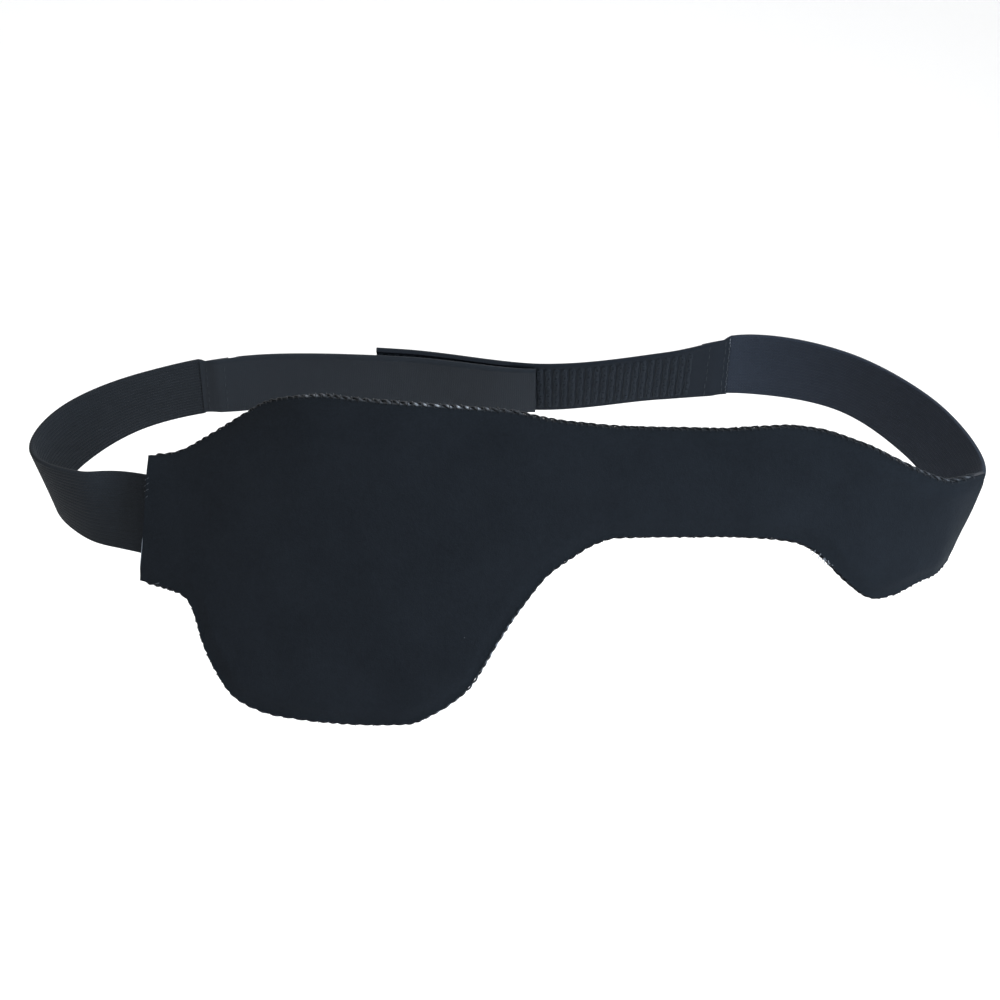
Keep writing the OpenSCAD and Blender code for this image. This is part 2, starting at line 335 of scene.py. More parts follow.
finishes = {
    # dark and light tone, roughness, sheen, specular level, bump depth in mm
    "faceCloth": {"dark": (0.0029, 0.0039, 0.0052), "light": (0.0080, 0.0104, 0.0136), "rough": 0.95,
                  "sheen": 0.012, "specular": 0.06, "bump": 0.10, "lint": 0.9},
    "liningCloth": {"dark": (0.005, 0.0065, 0.0085), "light": (0.011, 0.014, 0.018), "rough": 0.85,
                    "sheen": 0.015, "specular": 0.10, "bump": 0.06, "lint": 0.2},
    "foam": {"dark": (0.020, 0.020, 0.022), "light": (0.045, 0.045, 0.048), "rough": 0.95,
             "sheen": 0.0, "specular": 0.1, "bump": 0.20, "lint": 0.0},
    "elastic": {"dark": (0.0034, 0.0046, 0.0063), "light": (0.0088, 0.0114, 0.0146), "rough": 0.80,
                "sheen": 0.015, "specular": 0.12, "bump": 0.07, "lint": 0.15},
    # the right elastic's copy of the elastic, lighter and bluer: painted cool light on its inner face,
    # standing in for the light from the right
    "elasticPaintedCoolLight": {"dark": (0.0056, 0.0078, 0.0122), "light": (0.0136, 0.0182, 0.0270), "rough": 0.80,
                    "sheen": 0.015, "specular": 0.12, "bump": 0.07, "lint": 0.15},
    "loopTape": {"dark": (0.0087, 0.0107, 0.0136), "light": (0.0140, 0.0170, 0.0210), "rough": 0.88,
                 "sheen": 0.02, "specular": 0.10, "bump": 0.04, "lint": 0.1},
    "hookTape": {"dark": (0.0050, 0.0064, 0.0087), "light": (0.0096, 0.0120, 0.0156), "rough": 0.85,
                 "sheen": 0.0, "specular": 0.06, "bump": 0.04, "lint": 0.1},
    "hooks": {"dark": (0.0066, 0.0085, 0.0112), "light": (0.0106, 0.0133, 0.0170), "rough": 0.75,
              "sheen": 0.0, "specular": 0.07, "bump": 0.02, "lint": 0.0},
    "edgeThread": {"dark": (0.0030, 0.0040, 0.0054), "light": (0.0070, 0.0090, 0.0118), "rough": 0.75,
                   "sheen": 0.03, "specular": 0.15, "bump": 0.04, "lint": 0.0},
    "sewingThread": {"dark": (0.0085, 0.0108, 0.0140), "light": (0.0160, 0.0195, 0.0245), "rough": 0.70,
                     "sheen": 0.02, "specular": 0.15, "bump": 0.03, "lint": 0.0},
}


def clothMaterial(name, pattern, warp=0.01, weft=0.006, fineness=1.0, paleAndPaintedGlint=None):
    # tone drives the colour between dark and light, height drives the bump; lint adds pale flecks;
    # colour = mix(colour, pale colour, the thread's own per-point value): painted highlight on strand tops,
    # real paleness on frayed fibres
    look = finishes[name]
    material = bpy.data.materials.new(name)
    material.use_nodes = True
    tree = material.node_tree
    shader = tree.nodes["Principled BSDF"]
    shader.inputs["Roughness"].default_value = look["rough"]
    shader.inputs["Sheen Weight"].default_value = look["sheen"]
    shader.inputs["Sheen Roughness"].default_value = 0.5
    shader.inputs["Specular IOR Level"].default_value = look["specular"]
    if pattern == "weave":
        place = tree.nodes.new("ShaderNodeUVMap")
        place.uv_map = "strip"
        vector = place.outputs[0]
        effect = tree.nodes.new("ShaderNodeGroup")
        effect.node_tree = tapeWeave
        effect.inputs["Warp"].default_value = warp
        effect.inputs["Weft"].default_value = weft
    else:
        place = tree.nodes.new("ShaderNodeTexCoord")
        vector = place.outputs["Object"]
        effect = tree.nodes.new("ShaderNodeGroup")
        effect.node_tree = brushedNap
        effect.inputs["Fineness"].default_value = fineness
    tree.links.new(vector, effect.inputs["Vector"])
    mottle = noise(tree, vector, 9 if pattern == "weave" else 90, 4, 0.6)
    ramp = tree.nodes.new("ShaderNodeMix")
    ramp.data_type = "RGBA"
    tone = math(tree, "ADD", math(tree, "MULTIPLY", effect.outputs["Tone"], 0.75),
                math(tree, "MULTIPLY", mottle, 0.25))
    tree.links.new(tone, ramp.inputs["Factor"])
    ramp.inputs["A"].default_value = (*look["dark"], 1)
    ramp.inputs["B"].default_value = (*look["light"], 1)
    colour = ramp.outputs["Result"]
    if paleAndPaintedGlint:
        paleAndGlintAttribute = tree.nodes.new("ShaderNodeAttribute")
        paleAndGlintAttribute.attribute_name = "paleAndPaintedGlint"
        paleAndGlintMix = tree.nodes.new("ShaderNodeMix")
        paleAndGlintMix.data_type = "RGBA"
        tree.links.new(paleAndGlintAttribute.outputs["Fac"], paleAndGlintMix.inputs["Factor"])
        tree.links.new(colour, paleAndGlintMix.inputs["A"])
        paleAndGlintMix.inputs["B"].default_value = (*paleAndPaintedGlint, 1)
        colour = paleAndGlintMix.outputs["Result"]
    if look["lint"]:
        flecks = tree.nodes.new("ShaderNodeGroup")
        flecks.node_tree = lintFlecks
        flecks.inputs["Amount"].default_value = look["lint"]
        coordinates = tree.nodes.new("ShaderNodeTexCoord")
        tree.links.new(coordinates.outputs["Object"], flecks.inputs["Vector"])
        dusted = tree.nodes.new("ShaderNodeMix")
        dusted.data_type = "RGBA"
        tree.links.new(flecks.outputs["Mask"], dusted.inputs["Factor"])
        tree.links.new(colour, dusted.inputs["A"])
        dusted.inputs["B"].default_value = (0.075, 0.08, 0.087, 1)
        colour = dusted.outputs["Result"]
    tree.links.new(colour, shader.inputs["Base Color"])
    bump = tree.nodes.new("ShaderNodeBump")
    bump.inputs["Distance"].default_value = look["bump"] * mm
    bump.inputs["Strength"].default_value = 0.8
    tree.links.new(effect.outputs["Height"], bump.inputs["Height"])
    tree.links.new(bump.outputs["Normal"], shader.inputs["Normal"])
    return material


faceMaterial = clothMaterial("faceCloth", "nap")
liningMaterial = clothMaterial("liningCloth", "nap", fineness=1.4)
foamMaterial = clothMaterial("foam", "nap", fineness=0.7)
elasticMaterial = clothMaterial("elastic", "weave", warp=0.010, weft=0.007)
# painted cool light: the same elastic, coloured lighter and bluer
elasticPaintedCoolLightMaterial = clothMaterial("elasticPaintedCoolLight", "weave", warp=0.010, weft=0.007)
loopTapeMaterial = clothMaterial("loopTape", "weave", warp=0.006, weft=0.005)
hookTapeMaterial = clothMaterial("hookTape", "weave", warp=0.005, weft=0.0045)
hookMaterial = clothMaterial("hooks", "nap", fineness=0.5)
# the pale colour mixed in on the overlock rope is painted highlight
edgeThreadMaterial = clothMaterial("edgeThread", "nap", fineness=1.5, paleAndPaintedGlint=(0.30, 0.33, 0.37))
# the pale colour mixed in on stitches is painted highlight at the tack row's top, real paleness on the fray
# and the cut edge line
sewingThreadMaterial = clothMaterial("sewingThread", "nap", fineness=1.5, paleAndPaintedGlint=(0.20, 0.22, 0.25))
print("materials made")

# ---- the panel's outline ----

endUp, tailUp = halfStrap + 6, halfStrap + 8.5
browUp, padUp, padDown = panel["padUp"] - 5.5, panel["padUp"], panel["padDown"]
bridgeDown = browUp - 1 - panel["bridge"]
tailDown = -halfStrap - 3.8
upperEdge = np.array([
    (0, endUp), (0.02, endUp + 0.8), (0.04, endUp + 3), (0.07, endUp + 8.6), (0.105, padUp - 9),
    (0.135, padUp - 4), (0.17, padUp - 1.5), (0.22, padUp + 0.1), (0.3, padUp - 0.4),
    (0.38, padUp - 0.9), (0.45, padUp - 1.6), (0.5, padUp - 3.8), (0.57, browUp), (0.7, browUp - 1.2),
    (0.78, browUp - 0.7), (0.82, browUp - 2.2), (0.87, browUp - 6.2), (0.92, tailUp + 3.6),
    (0.96, tailUp - 1.1), (1, tailUp)])
lowerEdge = np.array([
    (0, -endUp - 1), (0.06, -endUp - 1), (0.08, -endUp - 1.9), (0.095, -endUp - 5.1),
    (0.11, 14.3 - padDown), (0.125, 10 - padDown), (0.145, 4 - padDown), (0.165, 1.6 - padDown),
    (0.19, 0.3 - padDown), (0.23, -padDown), (0.29, -padDown), (0.34, 0.7 - padDown),
    (0.375, 5 - padDown), (0.405, 10.4 - padDown), (0.425, 18.3 - padDown), (0.45, 27.7 - padDown),
    (0.47, -9.2), (0.49, -3.4), (0.515, bridgeDown - 5.6), (0.54, bridgeDown - 2.1),
    (0.565, bridgeDown), (0.6, bridgeDown), (0.7, bridgeDown - 0.4), (0.75, bridgeDown - 1.2),
    (0.785, bridgeDown - 2.6), (0.81, bridgeDown - 5.9), (0.835, bridgeDown - 12.6),
    (0.862, tailDown + 1.2), (0.875, tailDown), (0.9, tailDown + 0.3), (0.93, tailDown + 2),
    (1, tailDown + 2)])


def edgeHeight(table, s):
    # the table read at seven nearby shares and averaged, so that its corners round off
    share = -np.asarray(s, float)[..., None] / loopShape["panelLength"] + np.linspace(-0.014, 0.014, 7)
    weight = np.array([1, 2, 3, 4, 3, 2, 1]) / 16
    return (np.interp(share, table[:, 0], table[:, 1]) * weight).sum(-1)


def cutTop(s):
    return edgeHeight(upperEdge, s) - panel["edge"]


def cutBottom(s):
    return edgeHeight(lowerEdge, s) + panel["edge"]


def endSlant(s, v):
    # both ends are cut slanting, so their lower corners are shorter than their upper ones
    low = np.clip((endUp - v) / (2 * endUp), 0, 1.05)
    left = 3.7 * smooth((s + 22) / 22) * low
    right = 4.2 * smooth((-s - loopShape["panelLength"] + 20) / 20) * smooth((11 - v) / 22)**2.2
    return s - left + right


cushion = {
    "along": 300, "across": 72,
    "edgeThin": 0.58, "rollWidth": 4.5,  # share of the thickness left at the sewn edge, and its reach
    "endThin": 0.6, "endReach": 9,  # the same at the end sewn to the right elastic
    "pucker": 0.08, "puckerPitch": 1.7,
}


def panelGrid():
    # s from end to end; v from the lower to the upper cut edge, crowded towards both
    s = np.linspace(-loopShape["panelLength"], 0, cushion["along"])[:, None]
    x = np.linspace(0, 1, cushion["across"])[None]
    share = 0.5 - 0.5 * np.cos(np.pi * x)
    share = 0.5 * share + 0.5 * x
    low, high = cutBottom(s), cutTop(s)
    low, high = low.reshape(-1, 1), high.reshape(-1, 1)
    v = low + (high - low) * share
    slopeLow = np.gradient(low[:, 0], s[:, 0])[:, None]
    slopeHigh = np.gradient(high[:, 0], s[:, 0])[:, None]
    depth = np.minimum((v - low) / np.hypot(1, slopeLow), (high - v) / np.hypot(1, slopeHigh))
    s = np.broadcast_to(s, v.shape)
    return s, v, depth


gridS, gridV, gridDepth = panelGrid()


def puffOfCloth():
    # the sewn sandwich is blown up a little as cloth, pinned along its edges; returns the swelling in mm
    step = (slice(None, None, 3), slice(None, None, 2))
    s, v, depth = gridS[step], gridV[step], gridDepth[step]
    scale = 10  # the solver is steadier on a larger copy
    outer, inner = onLoop(s, v, faceOut) * scale, onLoop(s, v, liningIn) * scale
    uv = np.stack([s, v], -1)
    dummy = shell("puffDummy", outer, inner, uv, 180)
    pins = dummy.vertex_groups.new(name="pins")
    held = np.stack([depth, depth]).ravel() < 2.6
    ends = np.stack([s, s]).ravel()
    held |= (ends > -12) | (ends < 12 - loopShape["panelLength"])
    pins.add([int(k) for k in np.flatnonzero(held)], 1.0, "REPLACE")
    cloth = dummy.modifiers.new("cloth", "CLOTH")
    settings = cloth.settings
    settings.quality = 5
    settings.mass = 0.2
    settings.tension_stiffness = settings.compression_stiffness = 12
    settings.shear_stiffness = 6
    settings.bending_stiffness = 1.5
    settings.use_pressure = True
    settings.uniform_pressure_force = 4
    settings.vertex_group_mass = "pins"
    settings.effector_weights.gravity = 0
    cloth.collision_settings.use_collision = False
    scene = bpy.context.scene
    for number in range(1, 21):
        scene.frame_set(number)
    solved = dummy.evaluated_get(bpy.context.evaluated_depsgraph_get()).data
    points = np.empty(len(solved.vertices) * 3, np.float32)
    solved.vertices.foreach_get("co", points)
    points = points.reshape(2, *s.shape, 3)
    scene.frame_set(1)
    bpy.data.objects.remove(dummy)
    out = loopFrame(s)[3]
    swell = ((points[0] - outer) * out).sum(-1) / scale / mm
    top = max(swell.max(), 1e-6)
    print("cloth swelling, most: %.2f mm" % top)
    swell = np.clip(swell, -0.2, None) * (0.55 / top)
    # back to the full grid, one axis at a time
    rows = np.stack([np.interp(np.arange(gridS.shape[0]), np.arange(0, gridS.shape[0], 3), column)
                     for column in swell.T], 1)
    return np.stack([np.interp(np.arange(gridS.shape[1]), np.arange(0, gridS.shape[1], 2), row)
                     for row in rows])


puff = puffOfCloth()


def pressed(s):
    # share of the thickness left where the end is sewn flat to the right elastic
    fromRight = np.asarray(s) + loopShape["panelLength"]
    return 1 - (1 - cushion["endThin"]) * (1 - smooth(fromRight / cushion["endReach"]))


def laminate(t):
    # depth t squeezed towards the middle of the sandwich near the sewn edge, then puffed and puckered
    centre = (liningIn + faceOut) / 2
    squeeze = cushion["edgeThin"] + (1 - cushion["edgeThin"]) * smooth(gridDepth / cushion["rollWidth"])
    fromRight = gridS + loopShape["panelLength"]
    ends = smooth((-gridS - 1) / 7) * smooth((fromRight - 1) / 7)
    pucker = cushion["pucker"] * np.cos(2 * np.pi * gridS / cushion["puckerPitch"]) * np.exp(-gridDepth / 1.2)
    share = (t - centre) / (faceOut - centre)
    depth = centre + (t - centre) * squeeze + share * (puff + pucker * ends)
    depth = liningIn + (depth - liningIn) * pressed(gridS)
    return onLoop(endSlant(gridS, gridV), gridV, np.maximum(depth, liningIn))


panelUv = np.stack([gridS, gridV], -1) / 100

faceCloth = shell("faceCloth", laminate(faceOut), laminate(foamOut), panelUv)
finishPiece(faceCloth, faceMaterial, "panel", ["face_cloth"])
foamCore = shell("foamCore", laminate(foamOut - 0.01), laminate(liningOut + 0.01), panelUv)
finishPiece(foamCore, foamMaterial, "panel", ["foam_core"])
liningCloth = shell("liningCloth", laminate(liningOut), laminate(liningIn), panelUv)
finishPiece(liningCloth, liningMaterial, "panel", ["lining_cloth"])

# ---- overlock thread round the cut edge ----

overlock = {
    "rope": 0.22, "strand": 0.25,  # radius of the chain's twist and of one strand
    "padRope": 0.33, "padStrand": 0.31,  # the same along the pad's brow, where the thread is fuller
    "twist": 5.0,  # length of one full turn, two strands
    "wrap": 0.13, "wrapPitch": 1.75, "bite": 0.35, "lean": 0.8,
}


def edgeLine(top, spacing):
    # even steps along a cut edge: distance s, height v, and the outward direction in the cloth
    s = np.linspace(-loopShape["panelLength"] + 2.0, -1.4, 4000)
    v = cutTop(s) if top else cutBottom(s)
    length = np.r_[0, np.cumsum(np.hypot(np.diff(s), np.diff(v)))]
    even = np.arange(0, length[-1], spacing)
    s, v = np.interp(even, length, s), np.interp(even, length, v)
    ds, dv = np.gradient(s), np.gradient(v)
    size = np.hypot(ds, dv) * (1 if top else -1)
    return even, s, v, -dv / size, ds / size


def edgeSpace(s, v, ds, dv, outward, high):
    # a point beside the edge: outward along the cloth, high above the middle of the sandwich
    centre = (liningIn + faceOut) / 2
    s2, v2 = s + ds * outward, v + dv * outward
    return onLoop(endSlant(s2, v2), v2, liningIn + (centre + high - liningIn) * pressed(s2))


def padBrow(s):
    # 1 along the top of the pad, 0 elsewhere
    return smooth((-s - 33) / 11) * smooth((s + 101) / 6)


def sergeEdge(name, top, node):
    even, s, v, ds, dv = edgeLine(top, 0.16)
    full = padBrow(s) if top else 0 * s
    wobble = 1 + 0.20 * np.sin(even / 7.3) + 0.16 * np.sin(even / 2.9 + 1) + 0.10 * np.sin(even / 1.3)
    rope = (overlock["rope"] + (overlock["padRope"] - overlock["rope"]) * full) * wobble
    strand = (overlock["strand"] + (overlock["padStrand"] - overlock["strand"]) * full) * mm
    strands, paleAndPaintedGlints = [], []
    # painted highlight: bright tips on the twisted strands, strongest over the pad's brow, with a bright spot
    # near its start, and faint along the tail's top edge and the pad's lower edge
    paintedTipHighlight = np.clip(0.42 + 0.45 * np.sin(even / 9.7) + 0.45 * np.sin(even / 4.3 + 2), 0, 1)
    paintedTipHighlight = paintedTipHighlight * (0.05 * full + 0.60 * smooth((-s - 58) / 16) * smooth((s + 100) / 4))
    paintedTipHighlight = paintedTipHighlight + 0.5 * full * np.exp(-((s + 43) / 3) ** 2)
    if top:
        paintedTipHighlight = paintedTipHighlight + 0.10 * smooth((-s - 183) / 5)
    else:
        paintedTipHighlight = paintedTipHighlight + 0.22 * smooth((-s - 19) / 4) * smooth((s + 46) / 6)
    for phase in (0, np.pi):
        a = phase - 2 * np.pi * even / overlock["twist"]
        a = a + 0.4 * np.sin(even / 3.1) + 0.25 * np.sin(even / 1.7 + 1)
        strands.append(edgeSpace(s, v, ds, dv, 0.18 + rope * np.cos(a), rope * 1.7 * np.sin(a)))
        # painted highlight on the side of each strand turned towards the light, and a faint painted sheen on
        # the strands' upper side along the brow
        highlightPeak = np.clip(np.sin(a + 0.4), 0, 1) ** 6
        paleAndPaintedGlints.append(highlightPeak * paintedTipHighlight + 0.06 * full * np.clip(np.sin(a), 0, 1))
    out = loopFrame(s)[3]
    ropePoints, ropeFaces = tubes(strands, np.stack([out, out]), strand * taper(len(s), 0.003), 8)
    ropePaintedHighlight = np.repeat(np.array(paleAndPaintedGlints).ravel(), 8)

    # wraps: from the needle hole on the face, over the chain and back into the lining side
    count = int((even[-1] - 2) / overlock["wrapPitch"])
    at = 1 + overlock["wrapPitch"] * np.arange(count) + rng.normal(0, 0.16, count)
    rings = 15
    turn = np.linspace(-1, 1, rings)[None]
    place = at[:, None] + overlock["lean"] * turn * 0.5
    pick = lambda table: np.interp(place, even, table)
    thick = (faceOut - liningIn) / 2
    squeeze = cushion["edgeThin"] * thick
    reach = rng.normal(0, 0.10, (count, 1)) + 0.35 * pick(full)
    arch = np.cos(turn * np.pi / 2)
    outward = -overlock["bite"] + (overlock["bite"] + 0.42 + reach) * arch**0.7
    high = -(squeeze + 0.02 + 0.22 * (1 - arch)) * np.sin(turn * np.pi / 2)
    wraps = edgeSpace(pick(s), pick(v), pick(ds), pick(dv), outward, high)
    inside = edgeSpace(pick(s), pick(v), pick(ds), pick(dv), outward - 1, high * 0)
    wrapRadius = overlock["wrap"] * mm * taper(rings, 0.1)
    wrapPoints, wrapFaces = tubes(wraps, unit(wraps - inside), wrapRadius[None], 6)
    # a faint painted highlight on the top of each wrap's arch
    wrapPaintedHighlight = 0.02 * np.repeat((arch * np.ones((count, 1))).ravel(), 6)

    points = np.vstack([ropePoints, wrapPoints])
    faces = np.vstack([ropeFaces, wrapFaces + len(ropePoints)])
    piece = makePiece(name, points, faces, None, 180)
    addPaleAndPaintedGlint(piece, np.r_[ropePaintedHighlight, wrapPaintedHighlight])
    return finishPiece(piece, edgeThreadMaterial, "panel", [node])


sergeEdge("topEdgeThread", True, "top_edge_thread")
sergeEdge("bottomEdgeThread", False, "bottom_edge_thread")
print("edges sewn")

# ---- elastics ----

webbing = {"ribs": 20, "ribHigh": 0.10, "fineRib": 0.06, "neck": 0.88, "across": 161, "step": 0.9}


def ribbon(s0, s1, step, across, inner, outer, lift=None, relief=None, width=None, side=0.035):
    # grids of the outer and inner skin; relief(x, s) is the height of the surface, x from -1 to 1;
    # side is the share of the half width that rounds off
    s = np.linspace(s0, s1, int((s1 - s0) / step) + 2)[:, None]
    x = np.linspace(-1, 1, across)[None]
    s, x = np.broadcast_arrays(s, x)
    v = x * halfStrap * (width(s) if width else 1) + (skew(s) if lift is None else lift(s))
    edge = np.sqrt(np.clip(1 - np.clip((np.abs(x) - 1 + side) / side, 0, 1) ** 2, 0, 1))
    low, high = inner(s), outer(s)
    centre, half = (low + high) / 2, (high - low) / 2
    bump = relief(x, s) if relief else 0
    top = centre + (half + bump) * np.maximum(edge, 0.06)
    bottom = centre - (half + bump) * np.maximum(edge, 0.06)
    uv = np.stack([s, v], -1) / 100
    return onLoop(s, v, top), onLoop(s, v, bottom), uv


def ribs(x, s, high=webbing["ribHigh"]):
    # rounded ribs along the webbing, flatter in the selvedge, with a faint beat where the weft crosses
    phase = x * webbing["ribs"] * np.pi / 2
    rib = np.abs(np.sin(phase)) ** 0.7 - 0.75
    beat = 0.2 * np.sin(2 * np.pi * s / 1.4) * np.sin(phase * 2)
    return high * (rib + beat) * np.where(np.abs(x) > 0.94, 0.4, 1)


def level(value):
    return lambda s: np.full(np.shape(s), float(value))


def backPoint(q):
    # a point at depth q in the loop's own plane
    return tuple(backDir * q * mm)


flatLift = lambda s: 0 * s
leftNeck = lambda s: 1 - (1 - webbing["neck"]) * smooth((s - loopTapeStart - 0.2) / 1.5)
rightNeck = lambda s: (1 - (1 - webbing["neck"]) * smooth((hookTapeStart - s - 0.2) / 1.5)
                       - 0.16 * smooth((s - strapEnd + 2) / 6))
leftSkins = ribbon(-strap["sewn"], loopTapeStart + strap["lap"], webbing["step"], webbing["across"],
                   level(-elasticOut), level(elasticOut), flatLift, ribs, leftNeck)
leftElastic = shell("leftElastic", *leftSkins, sharp=70)
finishPiece(leftElastic, elasticMaterial, ("panel", "left_strap", backPoint(16.8), backPoint(25)),
            ["left_elastic", "left_elastic_sewn_end"])

rightSkins = ribbon(hookTapeStart - strap["lap"], strapEnd + strap["sewn"],
                    webbing["step"], webbing["across"],
                    lambda s: rise(s) - elasticOut, lambda s: rise(s) + elasticOut, flatLift,
                    lambda x, s: ribs(x, s, webbing["fineRib"]), rightNeck)
rightElastic = shell("rightElastic", *rightSkins, sharp=70)
# the right elastic gets the copy with painted cool light
finishPiece(rightElastic, elasticPaintedCoolLightMaterial, ("panel", "right_strap", backPoint(16.5), backPoint(33)),
            ["right_elastic", "right_elastic_sewn_end"])
print("elastics made")

# ---- hook and loop tapes ----

tape = {"step": 0.6, "across": 61, "selvedge": 0.05, "nap": 0.35, "endThin": 0.10, "endReach": 5}


def selvedge(x, s):
    # a slightly thicker woven edge on each side of the tape
    return tape["selvedge"] * smooth((np.abs(x) - 0.86) / 0.05)


def sewnFlat(s, start, side):
    # share of the thickness left near an end that is stitched down flat
    return tape["endThin"] + (1 - tape["endThin"]) * smooth((s - start) * side / tape["endReach"])


def nearEnd(s, reach):
    # 1 at the free end of the loop tape, 0 further in than the reach
    return smooth((s - loopTapeEnd + reach) / reach)


def nearSeam(s, reach):
    # 1 where the loop tape starts, 0 beyond the reach
    return smooth((loopTapeStart + reach - s) / reach)


def loopInner(s):
    # pressed thin at the seam and at the free end
    return pileOut + (loopTapeIn - pileOut) * (sewnFlat(s, loopTapeStart, 1) - 0.45 * nearEnd(s, 14))


def loopOuter(s):
    # the nap stands up to meet the hooks beyond the seam
    return pileOut + tape["nap"] * smooth((s - loopTapeStart - strap["lap"] - 1) / 2) + 0.2 * nearEnd(s, 4)


loopSkins = ribbon(loopTapeStart, loopTapeEnd, tape["step"], tape["across"], loopInner, loopOuter,
                   lambda s: 0.3 * nearEnd(s, 14) + 0.4 * nearSeam(s, 12), selvedge,
                   lambda s: 1 - 0.06 * nearEnd(s, 14) - 0.04 * nearSeam(s, 12), 0.13)
loopTape = shell("loopTape", *loopSkins, sharp=60)
finishPiece(loopTape, loopTapeMaterial, "left_strap", ["loop_tape"])


def hookFlat(s):
    # inner face of the hook tape, pressed thin at the seam
    return backOut + (backIn - backOut) * sewnFlat(s, hookTapeStart, -1)


def hookInner(s):
    # over the loop tape the bare selvedges bend in to just clear the nap, up to where its free end rises
    x = np.linspace(-1, 1, s.shape[1])[None]
    return hookFlat(s) - 0.40 * smooth((np.abs(x) - 0.88) / 0.05) * smooth((loopTapeEnd - 5 - s) / 4)


hookSkins = ribbon(hookTapeEnd, hookTapeStart, tape["step"], tape["across"], hookInner, level(backOut),
                   None, selvedge)
hookTape = shell("hookTape", *hookSkins, sharp=60)
finishPiece(hookTape, hookTapeMaterial, ("right_strap", "hook_tab", (0.0590, 0, 0), (0.0535, 0, 0)),
            ["hook_tape", "hook_tape_sewn_end"])

hooks = {"perRow": 14, "radius": 0.11, "reach": 0.40, "ridge": 0.13, "ridgeWidth": 0.80, "slant": -0.28}


def hookField():
    # cross ridges of moulded tape with a row of small hooks on each: a hook climbs, bends over along the
    # tape and turns back down
    rows = np.arange(hookTapeEnd + 1.2, tabFold - 1, closure["pitch"])
    reachOut = halfStrap - 1.1
    lean = lambda s, v: s + hooks["slant"] * v / halfStrap + 0.12 * np.sin(1.1 * v + 1.7 * s)
    x = np.linspace(-reachOut, reachOut, 24)
    rowS, rowV = (a for a in np.meshgrid(rows, x, indexing="ij"))
    ridge = onLoop(lean(rowS, rowV), rowV + skew(rowS), backIn - 0.02)
    up = loopFrame(rowS)[3]
    along = loopFrame(rowS)[1]
    a = np.linspace(0, np.pi, 7)
    width, height = hooks["ridgeWidth"] * taper(24, 0.04), hooks["ridge"] * taper(24, 0.04)
    profile = (ridge[:, :, None] + mm * (np.cos(a)[:, None] * (width[:, None, None] * along[:, :, None])
                                         - np.sin(a)[:, None] * (height[:, None, None] * up[:, :, None])))
    faces = gridFaces(24, 7, wrap=True)[None] + (np.arange(len(rows)) * 168)[:, None, None]

    places = np.linspace(-reachOut + 0.6, reachOut - 0.6, hooks["perRow"])
    s, v = (a.ravel() for a in np.meshgrid(rows, places, indexing="ij"))
    way = np.where(np.arange(len(s)) % 2 == 0, 1.0, -1.0)[:, None]
    turn = np.linspace(0, 1.25 * np.pi, 8)[None]
    high = closure["hookHigh"] - 0.16
    climb = np.clip(np.linspace(0, 2.2, 8), 0, 1)[None] * high
    s2 = lean(s, v)[:, None] + way * hooks["reach"] / 2 * (1 - np.cos(np.clip(turn - 0.6, 0, None)))
    v2 = np.broadcast_to(v[:, None], s2.shape)
    depth = backIn - climb + high * 0.55 * np.clip(turn / np.pi - 0.75, 0, 1)
    path = onLoop(s2, v2 + skew(s2), depth)
    hookPoints, hookFaces = tubes(path, loopFrame(s2)[2], hooks["radius"] * mm * taper(8, 0.1)[None], 5)
    points = np.vstack([profile.reshape(-1, 3), hookPoints])
    return points, np.vstack([faces.reshape(-1, 4), hookFaces + len(rows) * 168]), len(s)


hookPoints, hookFaces, hookCount = hookField()
hookRows = makePiece("hookRows", hookPoints, hookFaces, None, 180)
finishPiece(hookRows, hookMaterial, "hook_tab", ["hook_rows"])
print("tapes made, %d hooks" % hookCount)

# ---- sewing ----

stitch = {"length": 2.3, "pitch": 2.8, "radius": 0.13, "sink": 0.15}


def stitchPaths(lines, depth, lift=None, pitch=stitch["pitch"], length=stitch["length"], reach=halfStrap):
    # rows of short stitches across the strap, each an arch that dips into the cloth at both ends
    count = int((2 * reach - length) / pitch) + 1
    v = (np.arange(count) - (count - 1) / 2) * pitch
    x = np.linspace(-1, 1, 9)
    s, v = (a.ravel() for a in np.meshgrid(np.array(lines, float), v, indexing="ij"))
    vPath = v[:, None] + x * length / 2
    sPath = s[:, None] + 0.12 * np.sin(v * 3.7)[:, None] + 0 * x
    deep = depth(sPath) if callable(depth) else depth
    tPath = deep - 0.16 * (1 - x**4) + stitch["sink"]
    path = onLoop(sPath, vPath + (lift(sPath) if lift else 0), np.broadcast_to(tPath, sPath.shape))
    return path, loopFrame(sPath)[3]


def sewPiece(name, groups, body, nodes, radius=stitch["radius"]):
    # groups of (paths, up directions, per-point pale value: painted highlight, real pale fibres) become one
    # object
    points, faces, paleAndPaintedGlints, start = [], [], [], 0
    for path, up, paleAndPaintedGlint in groups:
        rings = path.shape[1]
        p, f = tubes(path, up, radius * mm * taper(rings, 0.2)[None], 6)
        points.append(p)
        faces.append(f + start)
        paleAndPaintedGlints.append(np.repeat(np.broadcast_to(paleAndPaintedGlint, path.shape[:2]).ravel(), 6))
        start += len(p)
    piece = makePiece(name, np.vstack(points), np.vstack(faces), None, 180)
    addPaleAndPaintedGlint(piece, np.concatenate(paleAndPaintedGlints))
    return finishPiece(piece, sewingThreadMaterial, body, nodes)


sewPiece("leftSeam", [(*stitchPaths([-2.5, -7.5], -elasticOut), 0.05)], "panel", ["left_seam_thread"])
rightRows = stitchPaths([strapEnd + 2.5, strapEnd + 7.5], -elasticOut, reach=7.4)
sewPiece("rightSeam", [(*rightRows, 0.05)], "panel", ["right_seam_thread"])
loopRows = stitchPaths([loopTapeStart + 1.6, loopTapeStart + 6.4], loopInner, reach=9.4)
sewPiece("loopSeam", [(*loopRows, 0.0)], "left_strap", ["loop_seam_thread"], 0.10)
tackPath, tackUp = stitchPaths([hookTapeStart - 0.35], hookFlat, pitch=1.05, length=1.0)
